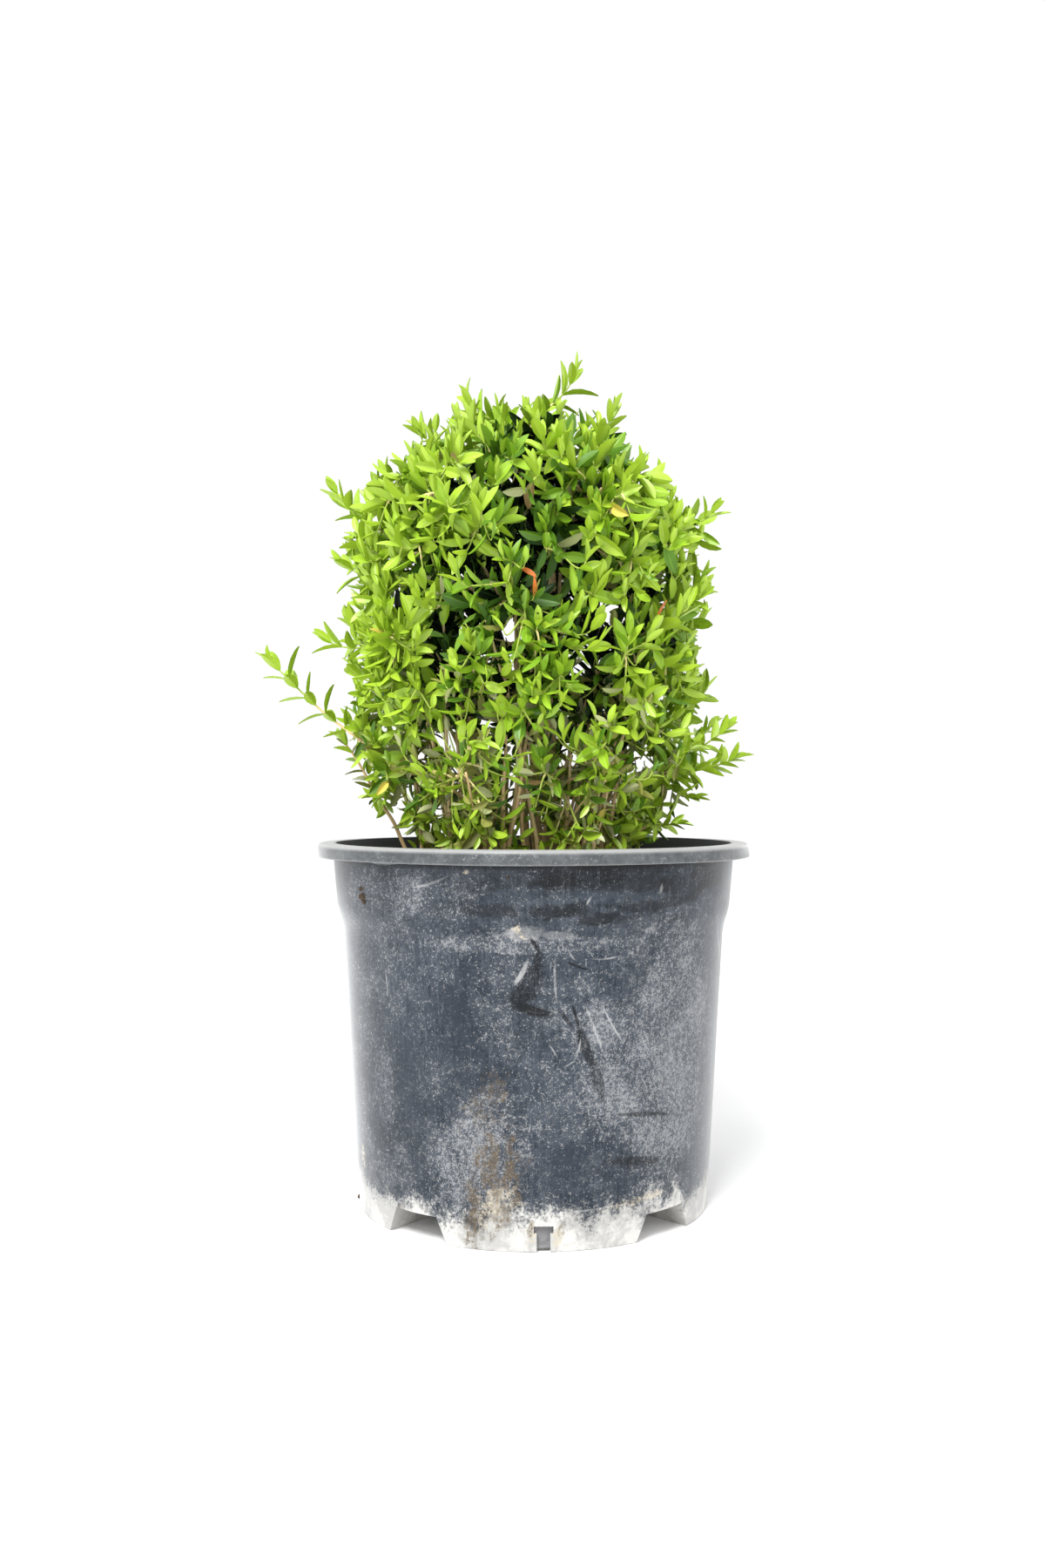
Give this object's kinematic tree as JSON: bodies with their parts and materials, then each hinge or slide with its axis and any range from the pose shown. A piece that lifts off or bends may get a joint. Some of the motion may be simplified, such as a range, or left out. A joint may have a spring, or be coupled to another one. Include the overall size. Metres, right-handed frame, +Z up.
{
  "type": "potted boxwood shrub",
  "caption": "Young evergreen box shrub with several stems, loosely clipped to a dome, growing in a round tapered plastic nursery pot with a turned-down lip and notched feet.",
  "frame": {"origin": "middle of the pot's flat underside, on the ground", "axes": "+Z up through the pot and shrub; the front, with the middle of one notched foot, faces -Y; +X is to the right seen from the front"},
  "size_m": [0.326, 0.28, 0.5451],
  "materials": {
    "pot_plastic": "faded, chalky slate-grey plastic",
    "soil": "dark damp potting mix",
    "bark": "tan, finely ridged young bark",
    "leaf": "small oval leaves, fresh yellow-green at the tips and darker inside"
  },
  "bodies": {
    "root": {"pot": "pot_plastic", "soil": "soil", "trunk": "bark", "stem_back": "bark", "stem_back_left": "bark", "stem_back_right": "bark", "stem_front": "bark", "stem_front_left": "bark", "stem_front_right": "bark", "bough_high_back": "bark", "bough_high_front_left": "bark", "bough_high_front_right": "bark", "bough_high_left": "bark", "bough_high_right": "bark", "bough_low_back_left": "bark", "bough_low_back_right": "bark", "bough_low_front_left": "bark", "bough_low_front_right": "bark", "bough_low_left": "bark", "bough_low_right": "bark", "foliage_high_back": "leaf", "foliage_high_front_left": "leaf", "foliage_high_front_right": "leaf", "foliage_high_left": "leaf", "foliage_high_right": "leaf", "foliage_low_back_left": "leaf", "foliage_low_back_right": "leaf", "foliage_low_front_left": "leaf", "foliage_low_front_right": "leaf", "foliage_low_left": "leaf", "foliage_low_right": "leaf", "foliage_middle_back": "leaf", "foliage_middle_back_left": "leaf", "foliage_middle_back_right": "leaf", "foliage_middle_front": "leaf", "foliage_middle_front_left": "leaf", "foliage_middle_front_right": "leaf", "foliage_top": "leaf"}
  },
  "joints": []
}
